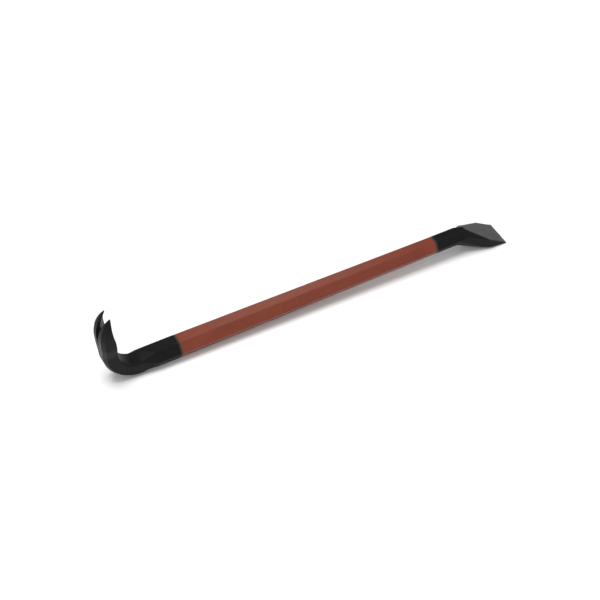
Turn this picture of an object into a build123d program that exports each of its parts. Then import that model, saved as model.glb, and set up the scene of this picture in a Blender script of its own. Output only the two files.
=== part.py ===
"""Gooseneck wrecking bar: nail claw at one end, flat pry blade at the other, red grip between them.

The bar is drawn along +X, claw end first, with the grip starting at x = 0 and the hook upwards.
It is then laid on the floor z = 0, on the heel of the claw's shank and on the blade's edge, with
the origin under the middle of its length. All sizes are in millimetres.
"""
from build123d import *
from math import atan2, cos, degrees, pi, radians, sin, sqrt, tan
import os

# Grip and the hexagonal tube under it
CLAW_END_FLATS = 21.2  # hexagon across flats where the grip meets the claw head
BLADE_END_FLATS = 16.6  # hexagon across flats where the grip meets the chisel head
GRIP_LENGTH = 291.0  # from one forged shoulder to the other
TUBE_FLATS = 14.4
SEAL_WIDTH = 1.6  # rubber ring at each end of the grip
SIDE_CHAMFER = 0.6  # half height of the small flat on a shank's side corners

# Spigot joints inside the tube
SPIGOT_DIAMETER = 9.0
SPIGOT_LENGTH = 45.0
SPIGOT_CLEARANCE = 0.05  # radial, spigot in bore
SPIGOT_CHAMFER = 0.8
PIN_DIAMETER = 4.0
PIN_FIRST = 13.0  # first pin's distance from its shoulder
PIN_PITCH = 18.0
PIN_TURN = 60.0  # each pin goes through the next pair of flats

# Gooseneck claw
CLAW_SHANK = 23.6
CLAW_RAMP = 16.7  # from the shank to where the underside starts to bend
CREASE_OFFSET = 7.5  # the ramp runs on this far into the inside of the bend
CREASE_RISE = 0.8  # top of the neck at the crease, above its top at the start of the bend
NECK_RISE = 1.8  # underside of the neck, above the underside of the shank
NECK_THICKNESS = 14.3
NECK_WIDTH = 19.6
NECK_INNER_FACE = 17.2  # flat left on the inside of the neck
NECK_OUTER_FACE = 10.6  # flat left on its underside
NECK_INNER_CHAMFER = 1.4
NECK_OUTER_CHAMFER = 2.6
BEND_RADIUS = 23.1  # inside of the gooseneck
BEND_ANGLE = 87.0
CLAW_LENGTH = 49.6  # straight claw beyond the bend
CLAW_WIDTH = 25.6  # across the claw at its widest
FLARE_LENGTH = 15.8  # the claw widens over its first stretch
PRONG_TAPER_LENGTH = 22.0  # and narrows again over its last stretch
BEAK_LENGTH = 26.9  # last stretch, where the back curves over to the tips
TIP_THICKNESS = 1.2
TIP_WIDTH = 1.0
TIP_SPREAD = 13.6  # between the middles of the two tips
SLOT_DEPTH = 36.0
SLOT_ROOT_RADIUS = 2.6  # at the inside of the claw
SLOT_SLOPE = 6.0  # degrees that each wall leans in towards the back
BEVEL_DEPTH = 6.0  # of the bevel from the inside of each prong down into the slot
BEVEL_RISE = 11.0  # distance from the tips at which it gets to its full depth
BEVEL_START = 6.0  # distance from the bend at which it starts
BEVEL_RUNOUT = 12.0
HOLLOW_DEPTH = 1.4  # the inside of the prongs curves back by this much below the tips
HOLLOW_LENGTH = 28.0
CLAW_SECTIONS = 14

# Pry blade
BLADE_SHANK = 25.0
BLADE_RIDGE = 9.5  # stretch where the top flat narrows before the bevel
BLADE_RIDGE_WIDTH = 2.4
BLADE_RIDGE_SIDE = 20.6  # width across the ridge's sides
BLADE_RIDGE_SHOULDER = 6.0  # ridge's side corner, below its top
BLADE_SHOULDER = 23.5  # from the ridge to the shoulder
BLADE_SHOULDER_WIDTH = 30.2
BLADE_TIP = 20.0  # from the shoulder to the edge
BLADE_EDGE_WIDTH = 31.0
BLADE_EDGE_THICKNESS = 0.9
BLADE_DROP = 12.9  # edge below the underside of the bar
BLADE_CORNER = 1.0  # small flats along the blade's long edges
SECTIONS_PER_STRETCH = 4

BORE_DIAMETER = SPIGOT_DIAMETER + 2 * SPIGOT_CLEARANCE
NECK_START = -(CLAW_SHANK + CLAW_RAMP)
NECK_BOTTOM = -CLAW_END_FLATS / 2 + NECK_RISE
NECK_TOP = NECK_BOTTOM + NECK_THICKNESS
BEND_CENTRE = NECK_TOP + BEND_RADIUS
RIDGE_START = GRIP_LENGTH + BLADE_SHANK + BLADE_RIDGE
SHOULDER_START = RIDGE_START + BLADE_SHOULDER
EDGE_STATION = SHOULDER_START + BLADE_TIP
EDGE_BOTTOM = -BLADE_END_FLATS / 2 - BLADE_DROP
ACROSS = (0, -1, 0)


def between(first, last, share):
    """Value that lies the given share of the way from the first to the last."""
    return first + (last - first) * share


def grip_flats(station):
    """Width across flats of the grip's outside, which tapers evenly from the claw to the blade."""
    return CLAW_END_FLATS + (BLADE_END_FLATS - CLAW_END_FLATS) * station / GRIP_LENGTH


def hexagon_ring(station, flats):
    """Corners of a hexagon across the bar, with flats on top and bottom."""
    turns = [radians(60 * corner) for corner in range(6)]
    return [Vector(0, cos(turn), sin(turn)) * flats / sqrt(3) + Vector(station, 0, 0) for turn in turns]


def hexagon_bar(start, end, start_flats, end_flats):
    """Hexagonal bar along +X, straight or narrowing evenly, with plane faces all round."""
    first, last = hexagon_ring(start, start_flats), hexagon_ring(end, end_flats)
    outlines = [first[::-1], last]
    for corner in range(6):
        after = (corner + 1) % 6
        outlines.append([first[corner], first[after], last[after], last[corner]])
    return Solid(Shell([Face(Wire.make_polygon(outline, close=True)) for outline in outlines]))


def round_bar(diameter, start, end):
    """Round bar along +X between two stations."""
    plane = Plane(origin=(start, 0, 0), z_dir=(1, 0, 0))
    return extrude(plane * Circle(diameter / 2), end - start)


def crosswise(station):
    """Plane across the bar, seen along it, with its x axis across and its y axis up."""
    return Plane(origin=(station, 0, 0), x_dir=ACROSS, z_dir=(-1, 0, 0))


def mirrored(plane, right):
    """Section given by the (across, height) corners of its right half, from the top down."""
    left = [(-across, height) for across, height in reversed(right)]
    return plane * make_face(Polyline(*right, *left, close=True))


def shank_section(station, flats):
    """Hexagon of a forged shank with a small flat on each side corner."""
    half = flats / 2
    flat_half = half / sqrt(3)
    side_half = 2 * flat_half - SIDE_CHAMFER / sqrt(3)
    corners = [(flat_half, half), (side_half, SIDE_CHAMFER), (side_half, -SIDE_CHAMFER), (flat_half, -half)]
    return mirrored(crosswise(station), corners)


def spigot(start, outwards):
    """Chamfered round spigot that a forged head carries into the tube."""
    end = start + outwards * SPIGOT_LENGTH
    bar = round_bar(SPIGOT_DIAMETER, min(start, end), max(start, end))
    far_rim = bar.edges().group_by(Axis.X)[-1 if outwards > 0 else 0]
    return chamfer(far_rim, SPIGOT_CHAMFER)


def pin_stations(shoulder, outwards):
    """Each pin's station along the bar and its turn about it, for one head."""
    return [(shoulder + outwards * (PIN_FIRST + k * PIN_PITCH), k * PIN_TURN) for k in range(2)]


def pin(station, turn):
    """Drive pin through the tube and the spigot, flush with a pair of the tube's flats."""
    upright = Cylinder(PIN_DIAMETER / 2, TUBE_FLATS)
    return Pos(station, 0, 0) * Rot(turn, 0, 0) * upright


def neck_section(station, top, bottom):
    """Flattened section of the neck, with chamfered edges."""
    corners = [
        (NECK_INNER_FACE / 2, top),
        (NECK_WIDTH / 2, top - NECK_INNER_CHAMFER),
        (NECK_WIDTH / 2, bottom + NECK_OUTER_CHAMFER),
        (NECK_OUTER_FACE / 2, bottom),
    ]
    return mirrored(crosswise(station), corners)


def neck():
    """Shank, ramp and gooseneck bend."""
    crease = NECK_START - CREASE_OFFSET
    crease_top = NECK_TOP + CREASE_RISE
    ramp_slope = (CLAW_END_FLATS / 2 - crease_top) / (CLAW_RAMP + CREASE_OFFSET)
    outer_radius = BEND_RADIUS + NECK_THICKNESS
    crease_bottom = BEND_CENTRE - sqrt(outer_radius**2 - CREASE_OFFSET**2)
    sections = [
        shank_section(0, CLAW_END_FLATS),
        shank_section(-CLAW_SHANK, CLAW_END_FLATS),
        neck_section(NECK_START, crease_top + ramp_slope * CREASE_OFFSET, NECK_BOTTOM),
        neck_section(crease, crease_top, crease_bottom),
    ]
    bend_axis = Axis((NECK_START, 0, BEND_CENTRE), (0, 1, 0))
    bend = revolve(neck_section(NECK_START, NECK_TOP, NECK_BOTTOM), axis=bend_axis, revolution_arc=BEND_ANGLE)
    return loft(sections, ruled=True) + bend


def arc_drop(start, length, drop, station):
    """Drop of an arc that leaves a straight line at its start, and has dropped fully at its end."""
    radius = (length**2 + drop**2) / (2 * drop)
    past = max(0, station - start)
    return radius - sqrt(radius**2 - past**2)


def eased(share):
    """Smooth step from 0 to 1."""
    held = min(1, max(0, share))
    return held * held * (3 - 2 * held)


def slot_half_width(station):
    """Half the width of the nail slot at the inside of the claw."""
    root = CLAW_LENGTH - SLOT_DEPTH + SLOT_ROOT_RADIUS
    share = max(0, (station - root) / (CLAW_LENGTH - root))
    return between(SLOT_ROOT_RADIUS, (TIP_SPREAD - TIP_WIDTH) / 2, share)


def claw_section(plane, station):
    """Section of the claw: it flares, thins and narrows, with a bevelled hollow along its inside."""
    beak = arc_drop(CLAW_LENGTH - BEAK_LENGTH, BEAK_LENGTH, NECK_THICKNESS - TIP_THICKNESS, station)
    thickness = NECK_THICKNESS - beak
    flared = between(NECK_WIDTH, CLAW_WIDTH, eased(station / FLARE_LENGTH)) / 2
    narrowing = (CLAW_WIDTH - TIP_SPREAD - TIP_WIDTH) / 2
    taper = arc_drop(CLAW_LENGTH - PRONG_TAPER_LENGTH, PRONG_TAPER_LENGTH, narrowing, station)
    side = flared - taper
    share = thickness / NECK_THICKNESS
    rise = min(1, (CLAW_LENGTH - station) / BEVEL_RISE)
    hollow = HOLLOW_DEPTH * sin(pi * min(1, (CLAW_LENGTH - station) / HOLLOW_LENGTH))
    bevel = BEVEL_DEPTH * rise * min(1, max(0, (station - BEVEL_START) / BEVEL_RUNOUT))
    corners = [
        (slot_half_width(station) - BEVEL_DEPTH * tan(radians(SLOT_SLOPE)), -hollow - min(bevel, thickness / 2)),
        (side - share * (NECK_WIDTH - NECK_INNER_FACE) / 2, -hollow),
        (side, -hollow - share * NECK_INNER_CHAMFER),
        (side, share * NECK_OUTER_CHAMFER - thickness),
        (side - share * (NECK_WIDTH - NECK_OUTER_FACE) / 2, -thickness),
    ]
    origin = plane.origin + plane.z_dir * station
    return mirrored(Plane(origin=origin, x_dir=plane.x_dir, z_dir=plane.z_dir), corners)


def slot_outline():
    """V-shaped nail slot at the inside of the claw, as (along the claw, across), past the tips."""
    root_centre = CLAW_LENGTH - SLOT_DEPTH + SLOT_ROOT_RADIUS
    past = CLAW_LENGTH + NECK_THICKNESS
    mouth = slot_half_width(past)
    root_near = (root_centre, SLOT_ROOT_RADIUS)
    root_far = (root_centre, -SLOT_ROOT_RADIUS)
    walls = Polyline(root_near, (past, mouth), (past, -mouth), root_far)
    root = ThreePointArc(root_near, (root_centre - SLOT_ROOT_RADIUS, 0), root_far)
    return make_face(walls + root)


def claw_head():
    """Forged gooseneck with a two-pronged nail claw, and its spigot."""
    bend = radians(BEND_ANGLE)
    along = Vector(-cos(bend), 0, sin(bend))
    inwards = Vector(sin(bend), 0, cos(bend))
    inner_end = Vector(NECK_START, 0, BEND_CENTRE) - inwards * BEND_RADIUS
    start = Plane(origin=inner_end, x_dir=ACROSS, z_dir=along)
    stations = [CLAW_LENGTH * step / CLAW_SECTIONS for step in range(CLAW_SECTIONS + 1)]
    claw = loft([claw_section(start, station) for station in stations], ruled=True)
    front_view = Plane(origin=inner_end, x_dir=along, z_dir=inwards)
    claw -= extrude(front_view * slot_outline(), -NECK_THICKNESS, taper=SLOT_SLOPE)
    return neck() + claw + spigot(0, 1)


def blade_bottom(station):
    """Height of the blade's underside, which drops quickly at first and runs out level at the edge."""
    start = GRIP_LENGTH + BLADE_SHANK
    share = (station - start) / (EDGE_STATION - start)
    return -BLADE_END_FLATS / 2 - BLADE_DROP * sin(pi / 2 * share)


def blade_section(station):
    """Section of the blade under its sloping top face, from the ridge to the edge."""
    half = BLADE_END_FLATS / 2
    bevel_slope = (half - EDGE_BOTTOM - BLADE_EDGE_THICKNESS) / (EDGE_STATION - RIDGE_START)
    top = half - bevel_slope * (station - RIDGE_START)
    bottom = blade_bottom(station)
    opened = min(1, (station - RIDGE_START) / BLADE_SHOULDER)
    spread = max(0, (station - SHOULDER_START) / BLADE_TIP)
    corner = min(BLADE_CORNER, (top - bottom) / 3)
    side = between(BLADE_SHOULDER_WIDTH, BLADE_EDGE_WIDTH, spread) / 2
    shoulder = between(BLADE_RIDGE_SHOULDER, corner, opened)
    widest = between(BLADE_RIDGE_SIDE / 2, side, opened)
    corners = [
        (between(BLADE_RIDGE_WIDTH / 2, side - corner, opened), top),
        (widest, top - shoulder),
        (widest, bottom + shoulder),
        (between(BLADE_RIDGE_SIDE / 3, side - corner, opened), bottom),
    ]
    return mirrored(crosswise(station), corners)


def chisel_head():
    """Forged pry blade: the hexagon spreads into a broad bevelled edge, and its spigot."""
    sections = [shank_section(GRIP_LENGTH, BLADE_END_FLATS)]
    sections.append(shank_section(GRIP_LENGTH + BLADE_SHANK, BLADE_END_FLATS))
    for start, end in ((RIDGE_START, SHOULDER_START), (SHOULDER_START, EDGE_STATION)):
        for step in range(SECTIONS_PER_STRETCH):
            sections.append(blade_section(between(start, end, step / SECTIONS_PER_STRETCH)))
    sections.append(blade_section(EDGE_STATION))
    return loft(sections, ruled=True) + spigot(GRIP_LENGTH, -1)


def shaft_tube():
    """Hexagonal steel tube that joins the two forged heads under the grip."""
    bore = round_bar(BORE_DIAMETER, 0, GRIP_LENGTH)
    return hexagon_bar(0, GRIP_LENGTH, TUBE_FLATS, TUBE_FLATS) - bore


def sleeve(start, end):
    """Stretch of the tapered grip, or a ring that continues it, around the tube."""
    outside = hexagon_bar(start, end, grip_flats(start), grip_flats(end))
    return outside - hexagon_bar(start, end, TUBE_FLATS, TUBE_FLATS)


def lay_angle():
    """Turn about Y that puts the heel of the claw's shank and the blade's edge on one level."""
    return degrees(atan2(EDGE_BOTTOM + CLAW_END_FLATS / 2, EDGE_STATION + CLAW_SHANK))


def build():
    """Every piece of the bar in its place, by node name."""
    pieces = {
        "claw_head": claw_head(),
        "chisel_head": chisel_head(),
        "shaft_tube": shaft_tube(),
        "grip_sleeve": sleeve(SEAL_WIDTH, GRIP_LENGTH - SEAL_WIDTH),
        "claw_end_seal": sleeve(0, SEAL_WIDTH),
        "chisel_end_seal": sleeve(GRIP_LENGTH - SEAL_WIDTH, GRIP_LENGTH),
    }
    for head, shoulder, outwards in (("claw", 0, 1), ("chisel", GRIP_LENGTH, -1)):
        for number, (station, turn) in enumerate(pin_stations(shoulder, outwards), 1):
            drive_pin = pin(station, turn)
            pieces[f"{head}_head"] -= drive_pin
            pieces["shaft_tube"] -= drive_pin
            pieces[f"{head}_pin_{number}"] = drive_pin
    return pieces


def lay_down(pieces):
    """Turn the bar to lie on the floor, and put the origin under the middle of its length."""
    turned = {name: piece.rotate(Axis.Y, lay_angle()) for name, piece in pieces.items()}
    boxes = [piece.bounding_box() for piece in turned.values()]
    middle = (min(box.min.X for box in boxes) + max(box.max.X for box in boxes)) / 2
    floor = min(box.min.Z for box in boxes)
    return {name: piece.translate((-middle, 0, -floor)) for name, piece in turned.items()}


os.makedirs("parts", exist_ok=True)
for node, solid in lay_down(build()).items():
    export_step(solid, f"parts/{node}.step")
    print(node, round(solid.volume), "mm3")
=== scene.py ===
# %% [markdown]
# # Gooseneck wrecking bar
# A short steel bar lies on a pale floor. One end is bent up into a claw with two prongs, the other
# spreads into a flat pry blade, and a brownish red grip covers the straight part between them.
# The imported parts come in first, and everything below is in metres in their frame: X runs along
# the bar towards the blade, Z is up, and the floor is at zero.

# %% Load the imported parts
import bpy
import math
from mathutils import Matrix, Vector

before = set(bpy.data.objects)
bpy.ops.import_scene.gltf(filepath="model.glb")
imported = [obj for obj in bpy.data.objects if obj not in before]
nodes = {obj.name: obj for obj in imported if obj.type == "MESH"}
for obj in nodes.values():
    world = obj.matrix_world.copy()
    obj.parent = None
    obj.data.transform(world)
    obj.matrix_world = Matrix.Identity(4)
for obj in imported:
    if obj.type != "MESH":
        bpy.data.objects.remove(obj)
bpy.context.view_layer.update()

# %% [markdown]
# ## Helpers for materials
# A material is a tree of nodes, and adding each by hand takes many lines. A small helper adds a
# node with its settings and its input values instead, so that each material below reads as a short
# list. Numbers go straight on the sockets, and a socket given in place of a number is linked.


# %% Node helper
def node(tree, kind, inputs=None, **settings):
    """Add a shader node, set its properties, and fill its inputs with values or links."""
    made = tree.nodes.new(kind)
    for key, value in settings.items():
        setattr(made, key, value)
    for key, value in (inputs or {}).items():
        if isinstance(value, bpy.types.NodeSocket):
            tree.links.new(value, made.inputs[key])
        else:
            made.inputs[key].default_value = value
    return made


print("node helper ready")


# %% Ramps, sums and blends
def ramp(tree, fac, stops):
    """Colour ramp through grey levels given as (position, level)."""
    made = node(tree, "ShaderNodeValToRGB", {"Fac": fac})
    elements = made.color_ramp.elements
    while len(elements) < len(stops):
        elements.new(0.5)
    for element, (position, level) in zip(elements, stops):
        element.position = position
        element.color = (level, level, level, 1.0)
    return made.outputs["Color"]


def maths(tree, operation, first, second=0.0, clamp=False):
    """Single arithmetic step on two values or links."""
    made = node(tree, "ShaderNodeMath", {0: first, 1: second}, operation=operation, use_clamp=clamp)
    return made.outputs[0]


def dot(tree, first, second):
    """How far two directions, or a place and a direction, run together."""
    return node(tree, "ShaderNodeVectorMath", {0: first, 1: second}, operation="DOT_PRODUCT").outputs["Value"]


def mix(tree, fac, first, second):
    """Blend of two colours."""
    made = node(tree, "ShaderNodeMix", {0: fac, 6: first, 7: second}, data_type="RGBA")
    return made.outputs[2]


print("ramp, sum and blend helpers ready")


# %% Places and noise
def place(tree):
    """Position on the piece in metres."""
    return tree.nodes.new("ShaderNodeTexCoord").outputs["Object"]


def noise(tree, vector, scale, **more):
    """Soft random pattern, from 0 to 1."""
    inputs = {"Vector": vector, "Scale": scale}
    inputs.update({key.title(): value for key, value in more.items()})
    return node(tree, "ShaderNodeTexNoise", inputs).outputs["Fac"]


print("place and noise helpers ready")

# %% [markdown]
# ## Shared surface effects
# Every finish on the bar has a fine grain, and the steel shows wear and scratches too. Each effect
# could be built again in each material, but a node group is built once and placed in each with
# its own values. A group takes numbers in and gives a mask or a height out.


# %% Group helper
def group(name, sockets, outputs):
    """Empty shader node group with float inputs (name, default) and float outputs."""
    tree = bpy.data.node_groups.new(name, "ShaderNodeTree")
    for label, default in sockets:
        socket = tree.interface.new_socket(name=label, in_out="INPUT", socket_type="NodeSocketFloat")
        socket.default_value = default
    for label in outputs:
        tree.interface.new_socket(name=label, in_out="OUTPUT", socket_type="NodeSocketFloat")
    return tree, tree.nodes.new("NodeGroupInput").outputs, tree.nodes.new("NodeGroupOutput").inputs


print("group helper ready")

# %% [markdown]
# ### Grain
# Forged steel, moulded plastic and rubber are never perfectly even. A fine noise serves as a
# height for small bumps, and a slow one as a tone that makes some patches lighter or duller.

# %% Grain
grain, ins, outs = group("Grain", [("Scale", 2500.0), ("Patch Scale", 60.0)], ["Height", "Tone"])
fine = noise(grain, place(grain), ins["Scale"], detail=4.0, roughness=0.6)
slow = noise(grain, place(grain), ins["Patch Scale"], detail=5.0, roughness=0.65)
grain.links.new(fine, outs["Height"])
grain.links.new(slow, outs["Tone"])
print("group", grain.name)

# %% [markdown]
# ### Edge wear
# Paint and oxide rub off first along the edges of a tool. The wear could be painted by hand, but a
# Bevel node finds the edges by itself: near an edge its rounded normal turns away from the flat
# one. Noise breaks the mark up, since real wear comes in patches.

# %% Edge wear
EDGE_REACH = 0.0005
FLAT_LIMIT = 0.985
EDGE_CONTRAST = 12.0
WORN_PATCHES = [(0.42, 0.0), (0.62, 1.0)]

wear, ins, outs = group("Edge wear", [("Amount", 1.0), ("Scale", 700.0)], ["Mask"])
flat_normal = node(wear, "ShaderNodeNewGeometry").outputs["True Normal"]
round_normal = node(wear, "ShaderNodeBevel", {"Radius": EDGE_REACH}, samples=6).outputs["Normal"]
turned = maths(wear, "SUBTRACT", FLAT_LIMIT, dot(wear, flat_normal, round_normal))
edge = maths(wear, "MULTIPLY", turned, EDGE_CONTRAST, clamp=True)
broken = noise(wear, place(wear), ins["Scale"], detail=6.0, roughness=0.7)
patchy = ramp(wear, broken, WORN_PATCHES)
amount = maths(wear, "MULTIPLY", maths(wear, "MULTIPLY", edge, patchy), ins["Amount"], clamp=True)
wear.links.new(amount, outs["Mask"])
print("group", wear.name)

# %% [markdown]
# ### Scuffs
# A bar that is pushed into gaps gets short scratches that run mostly along it. Single strokes
# could be modelled, but they are too fine to be worth it. A noise that is stretched along X and
# turned a little gives thin streaks, and only its brightest parts are kept.

# %% Scuffs
STREAK_STRETCH = (0.12, 1.0, 1.0)
STREAK_TURN = (0.0, 0.0, 0.25)
BRIGHTEST_STREAKS = [(0.60, 0.0), (0.72, 1.0)]

scuff, ins, outs = group("Scuffs", [("Scale", 90.0), ("Amount", 1.0)], ["Mask"])
mapping = {"Vector": place(scuff), "Scale": STREAK_STRETCH, "Rotation": STREAK_TURN}
stretched = node(scuff, "ShaderNodeMapping", mapping).outputs[0]
streak = noise(scuff, stretched, ins["Scale"], detail=8.0, roughness=0.75, distortion=0.6)
thin = ramp(scuff, streak, BRIGHTEST_STREAKS)
scuff.links.new(maths(scuff, "MULTIPLY", thin, ins["Amount"], clamp=True), outs["Mask"])
print("groups", [tree.name for tree in bpy.data.node_groups])

# %% [markdown]
# ## Materials
# Each material is one Principled shader with patterns linked to its sockets. A few more helpers
# keep the steps the same in each: start a material, place a shared group, turn a height into a
# bumped normal, vary the roughness, and fill the shader's sockets.


# %% Start a material and fill its shader
def start(name):
    """New material with its principled shader ready for links."""
    made = bpy.data.materials.new(name)
    made.use_nodes = True
    tree = made.node_tree
    tree.nodes.clear()
    shader = tree.nodes.new("ShaderNodeBsdfPrincipled")
    output = tree.nodes.new("ShaderNodeOutputMaterial")
    tree.links.new(shader.outputs[0], output.inputs[0])
    return made, tree, shader


def finish_shader(tree, shader, **links):
    """Link or set the principled shader's inputs by name."""
    for key, value in links.items():
        name = key.replace("_", " ")
        if isinstance(value, bpy.types.NodeSocket):
            tree.links.new(value, shader.inputs[name])
        else:
            shader.inputs[name].default_value = value


print("material helpers ready")


# %% Place groups, bumps and roughness
def use(tree, shared, **values):
    """Add one of the shared groups."""
    made = node(tree, "ShaderNodeGroup", node_tree=shared)
    for key, value in values.items():
        made.inputs[key.replace("_", " ")].default_value = value
    return made.outputs


def bumped(tree, height, strength, distance):
    """Normal from a height."""
    inputs = {"Height": height, "Strength": strength, "Distance": distance}
    return node(tree, "ShaderNodeBump", inputs).outputs[0]


def varied(tree, tone, spread, base):
    """Roughness that follows the slow tone."""
    return maths(tree, "ADD", maths(tree, "MULTIPLY", tone, spread), base)


print("surface helpers ready")

# %% [markdown]
# ### Where the blade's top face lies
# On the real bar the blade is forged down to a chisel end, and its sloping top face is a lighter,
# worn grey. That face could be split off as a piece of its own, but it belongs to one forging, so
# the material finds it instead. The face starts past the ridge and lies on one sloping plane, and
# what is less than a third of a millimetre below that plane counts as the face.

# %% Find the top face
RIDGE_X = 0.1806
RIDGE_MARGIN = 0.0005
RIDGE_CONTRAST = 1200.0
TOP_FACE_NORMAL = (0.5266, 0.0, 0.8501)
TOP_FACE_OFFSET = 0.11916
TOP_FACE_DEPTH = 0.0003
TOP_FACE_CONTRAST = 2500.0


def find_top_face(tree):
    """Mask that is 1 on the blade's top face and 0 elsewhere."""
    axes = node(tree, "ShaderNodeSeparateXYZ", {0: place(tree)}).outputs
    beyond = maths(tree, "SUBTRACT", axes["X"], RIDGE_X - RIDGE_MARGIN)
    past_ridge = maths(tree, "MULTIPLY", beyond, RIDGE_CONTRAST, clamp=True)
    below = maths(tree, "SUBTRACT", TOP_FACE_OFFSET, dot(tree, place(tree), TOP_FACE_NORMAL))
    too_deep = maths(tree, "SUBTRACT", below, TOP_FACE_DEPTH)
    off_plane = maths(tree, "MULTIPLY", too_deep, TOP_FACE_CONTRAST, clamp=True)
    return maths(tree, "MULTIPLY", past_ridge, maths(tree, "SUBTRACT", 1.0, off_plane))


print("top face starts at", RIDGE_X)

# %% [markdown]
# ### Forged black steel
# The two heads are forged and blackened: a satin black that is slightly uneven, with a little
# grey where it has rubbed off. A plain black would look like plastic, so the black shifts with
# the slow tone, wear and scuffs lighten it, and the blade's top face turns to worn grey.

# %% Make the forged black steel
DEEP_BLACK = (0.0030, 0.0032, 0.0034, 1.0)
SOFT_BLACK = (0.0060, 0.0063, 0.0066, 1.0)
RUBBED_GREY = (0.10, 0.10, 0.10, 1.0)
WORN_FACE_GREYS = [(0.35, 0.039), (0.65, 0.062)]

forged, tree, shader = start("Forged black steel")
surface = use(tree, grain, Scale=900.0, Patch_Scale=120.0)
edges = use(tree, wear, Amount=0.35)["Mask"]
scratches = use(tree, scuff, Amount=0.12)["Mask"]
top_face = find_top_face(tree)
black = mix(tree, surface["Tone"], DEEP_BLACK, SOFT_BLACK)
colour = mix(tree, top_face, black, ramp(tree, surface["Tone"], WORN_FACE_GREYS))
colour = mix(tree, maths(tree, "MAXIMUM", edges, scratches), colour, RUBBED_GREY)
duller = maths(tree, "MULTIPLY", top_face, 0.06)
rough = maths(tree, "ADD", varied(tree, surface["Tone"], 0.20, 0.34), duller)
finish_shader(tree, shader, Base_Color=colour, Roughness=rough, Specular_IOR_Level=0.12)
finish_shader(tree, shader, Normal=bumped(tree, surface["Height"], 0.05, 0.0004))
print("material", forged.name)

# %% [markdown]
# ### Red grip
# The grip is a dull brownish red with a satin gloss and a very fine grain. The gloss matters as
# much as the colour: it makes the upper flat look paler than the front one. A single red would
# look painted on, so two close reds follow the slow tone, and faint scratches lighten them.

# %% Make the red of the grip
DARK_RED = (0.148, 0.025, 0.0085, 1.0)
LIGHT_RED = (0.176, 0.031, 0.0115, 1.0)
SCRATCHED_RED = (0.22, 0.08, 0.05, 1.0)
RED_PATCHES = [(0.3, 0.0), (0.7, 1.0)]

red, tree, shader = start("Red grip")
surface = use(tree, grain, Scale=2600.0, Patch_Scale=45.0)
scratches = use(tree, scuff, Amount=0.12)["Mask"]
tone = ramp(tree, surface["Tone"], RED_PATCHES)
colour = mix(tree, scratches, mix(tree, tone, DARK_RED, LIGHT_RED), SCRATCHED_RED)
rough = varied(tree, surface["Tone"], 0.12, 0.27)
finish_shader(tree, shader, Base_Color=colour, Roughness=rough, Specular_IOR_Level=0.34)
finish_shader(tree, shader, Normal=bumped(tree, surface["Height"], 0.18, 0.0002))
print("material", red.name)

# %% [markdown]
# ### Black rubber and bare steel
# The thin rings at the grip's ends are matt black rubber. The tube and the pins are hidden under
# the grip, but they still get the look of plain drawn steel, for anyone who takes the bar apart.
# Both finishes need only the grain, since nothing rubs on them.

# %% Make the rubber
DARK_RUBBER = (0.010, 0.008, 0.008, 1.0)
LIGHT_RUBBER = (0.020, 0.016, 0.015, 1.0)

rubber, tree, shader = start("Black rubber")
surface = use(tree, grain, Scale=3000.0, Patch_Scale=200.0)
colour = mix(tree, surface["Tone"], DARK_RUBBER, LIGHT_RUBBER)
finish_shader(tree, shader, Base_Color=colour, Roughness=0.6)
finish_shader(tree, shader, Normal=bumped(tree, surface["Height"], 0.2, 0.0002))
print("material", rubber.name)

# %% Make the bare steel
DARK_STEEL = (0.28, 0.28, 0.29, 1.0)
LIGHT_STEEL = (0.36, 0.36, 0.37, 1.0)

bare, tree, shader = start("Bare steel")
surface = use(tree, grain, Scale=1500.0, Patch_Scale=150.0)
colour = mix(tree, surface["Tone"], DARK_STEEL, LIGHT_STEEL)
rough = varied(tree, surface["Tone"], 0.2, 0.28)
finish_shader(tree, shader, Base_Color=colour, Roughness=rough, Metallic=1.0)
print("materials", [made.name for made in bpy.data.materials])

# %% [markdown]
# ## Steel parts
# The claw and the blade are forgings, and a forging has no razor edges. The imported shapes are
# right, so they stay where they are, and a Bevel modifier rounds them by about half a millimetre.
# A Weld modifier before it joins the doubled corners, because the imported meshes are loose
# triangles and the Bevel modifier would find no shared edges in them.

# %% Rounding
WELD_DISTANCE = 0.00002
ROUNDED_ANGLE = math.radians(22)
STEPS_AROUND_AN_EDGE = 3


def dress(name, material, rounding=0.0):
    """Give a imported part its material, and round its edges if asked."""
    piece = nodes[name]
    piece.data.materials.clear()
    piece.data.materials.append(material)
    if rounding:
        weld = piece.modifiers.new("Weld", "WELD")
        weld.merge_threshold = WELD_DISTANCE
        bevel = piece.modifiers.new("Rounding", "BEVEL")
        bevel.width = rounding
        bevel.segments = STEPS_AROUND_AN_EDGE
        bevel.limit_method = "ANGLE"
        bevel.angle_limit = ROUNDED_ANGLE
        bevel.harden_normals = True


print("edges that turn by more than", round(math.degrees(ROUNDED_ANGLE)), "degrees are rounded")

# %% Finish the steel parts
CLAW_ROUNDING = 0.0007
BLADE_ROUNDING = 0.0005

dress("claw_head", forged, CLAW_ROUNDING)
dress("chisel_head", forged, BLADE_ROUNDING)
for name in ("shaft_tube", "claw_pin_1", "claw_pin_2", "chisel_pin_1", "chisel_pin_2"):
    dress(name, bare)
print("steel parts", sorted(n for n in nodes if nodes[n].data.materials[0] in (forged, bare)))

# %% [markdown]
# ## Grip and its end rings
# The grip is a six-sided sleeve that gets a little slimmer towards the blade, and a thin rubber
# ring closes each end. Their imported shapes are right, so they stay too. A moulded sleeve has soft
# corners, and the rounding lets its long edges catch a thin line of light.

# %% Finish the grip and the rings
GRIP_ROUNDING = 0.0006
RING_ROUNDING = 0.0002

dress("grip_sleeve", red, GRIP_ROUNDING)
for name in ("claw_end_seal", "chisel_end_seal"):
    dress(name, rubber, RING_ROUNDING)

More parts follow.
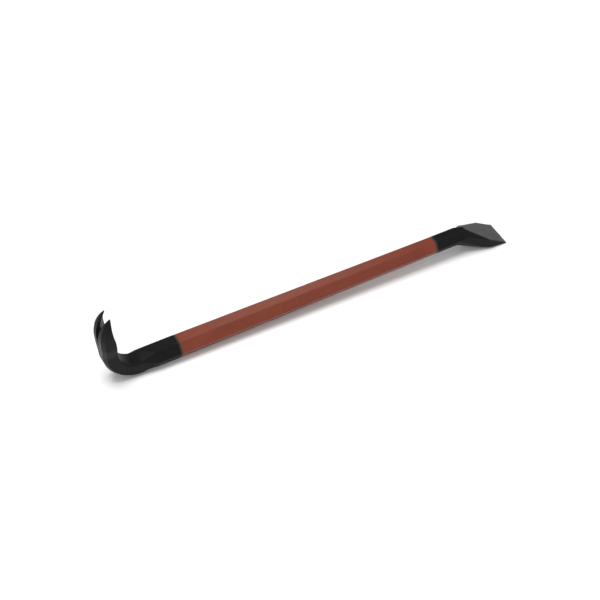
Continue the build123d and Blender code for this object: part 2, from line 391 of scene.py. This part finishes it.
# %% [markdown]
# ## Floor
# The bar lies on a plain pale floor that is far larger than the view. A backdrop could be curved
# up behind it, but a large flat plane fades into the surround by itself. Everything else is
# deselected first, so that the new plane is the only piece selected.

# %% Make the floor
FLOOR_SIZE = 30.0
FLOOR_GREY = (0.88, 0.88, 0.88, 1.0)
FLOOR_WHITE = (0.90, 0.90, 0.90, 1.0)

for piece in bpy.context.selected_objects:
    piece.select_set(False)
bpy.ops.mesh.primitive_plane_add(size=FLOOR_SIZE, location=(0.0, 0.0, 0.0))
floor = bpy.context.object
floor.name = "Floor"
pale, tree, shader = start("Pale floor")
colour = mix(tree, noise(tree, place(tree), 3.0), FLOOR_GREY, FLOOR_WHITE)
finish_shader(tree, shader, Base_Color=colour, Roughness=0.9, Specular_IOR_Level=0.1)
floor.data.materials.append(pale)
print("floor", FLOOR_SIZE, "m wide")

# %% [markdown]
# ## Light
# A studio lights such a tool with one large soft lamp from above, and a small one behind it that
# brings out the gloss of the upper flats. A sun lamp would give hard shadows, so both are square
# area lights that are aimed at the middle of the bar.


# %% Lamps
def soft_light(name, azimuth, elevation, distance, size, power):
    """Square area light aimed at the middle of the bar; azimuth is measured from +X towards +Y."""
    around, above = math.radians(azimuth), math.radians(elevation)
    away = Vector((math.cos(around) * math.cos(above), math.sin(around) * math.cos(above), math.sin(above)))
    data = bpy.data.lights.new(name, "AREA")
    data.shape = "SQUARE"
    data.size = size
    data.energy = power
    lamp = bpy.data.objects.new(name, data)
    bpy.context.scene.collection.objects.link(lamp)
    lamp.location = away * distance
    lamp.rotation_mode = "QUATERNION"
    lamp.rotation_quaternion = away.to_track_quat("Z", "Y")


soft_light("Key", azimuth=165.0, elevation=77.0, distance=2.2, size=1.1, power=36.0)
soft_light("Back", azimuth=66.2, elevation=45.8, distance=1.965, size=0.24, power=2.2)

# %% [markdown]
# ## Surround
# White walls around the bar soften the shadows and show in the steel's gloss. An even white would
# turn the black steel grey, so the surround gets dark high behind the bar, on the side that the
# upper flats reflect.

# %% Surround
DARK_SIDE = (0.30, 0.62, 0.72)
SURROUND_LEVELS = [(0.72, 0.80), (0.90, 0.04)]

world = bpy.data.worlds.new("Surround")
bpy.context.scene.world = world
world.use_nodes = True
sky = world.node_tree
sky.nodes["Background"].inputs["Color"].default_value = (1.0, 1.0, 1.0, 1.0)
direction = node(sky, "ShaderNodeTexCoord").outputs["Generated"]
glow = ramp(sky, dot(sky, direction, DARK_SIDE), SURROUND_LEVELS)
sky.links.new(glow, sky.nodes["Background"].inputs["Strength"])
bpy.context.scene.view_settings.view_transform = "Standard"
print("surround", world.name)

# %% [markdown]
# ## Camera
# The bar is seen from its claw end, from the front and well above. A short lens close by would
# make the claw look too large, so a long lens stands about two metres away and keeps the bar's
# long lines nearly parallel.

# %% Place the camera
CAMERA_PLACE = (-0.67298, -1.25201, 1.40995)
CAMERA_HEADING = math.radians(62.04)
CAMERA_DOWN = math.radians(44.61)
LENS_MM = 120.0
SENSOR_MM = 36.0

camera_data = bpy.data.cameras.new("Camera")
camera_data.sensor_width = SENSOR_MM
camera_data.lens = LENS_MM
camera_data.clip_end = 50.0
camera = bpy.data.objects.new("Camera", camera_data)
bpy.context.scene.collection.objects.link(camera)
camera.location = CAMERA_PLACE
camera.rotation_euler = (math.pi / 2 - CAMERA_DOWN, 0.0, CAMERA_HEADING - math.pi / 2)
bpy.context.scene.camera = camera
print("camera", [round(v, 3) for v in camera.location])
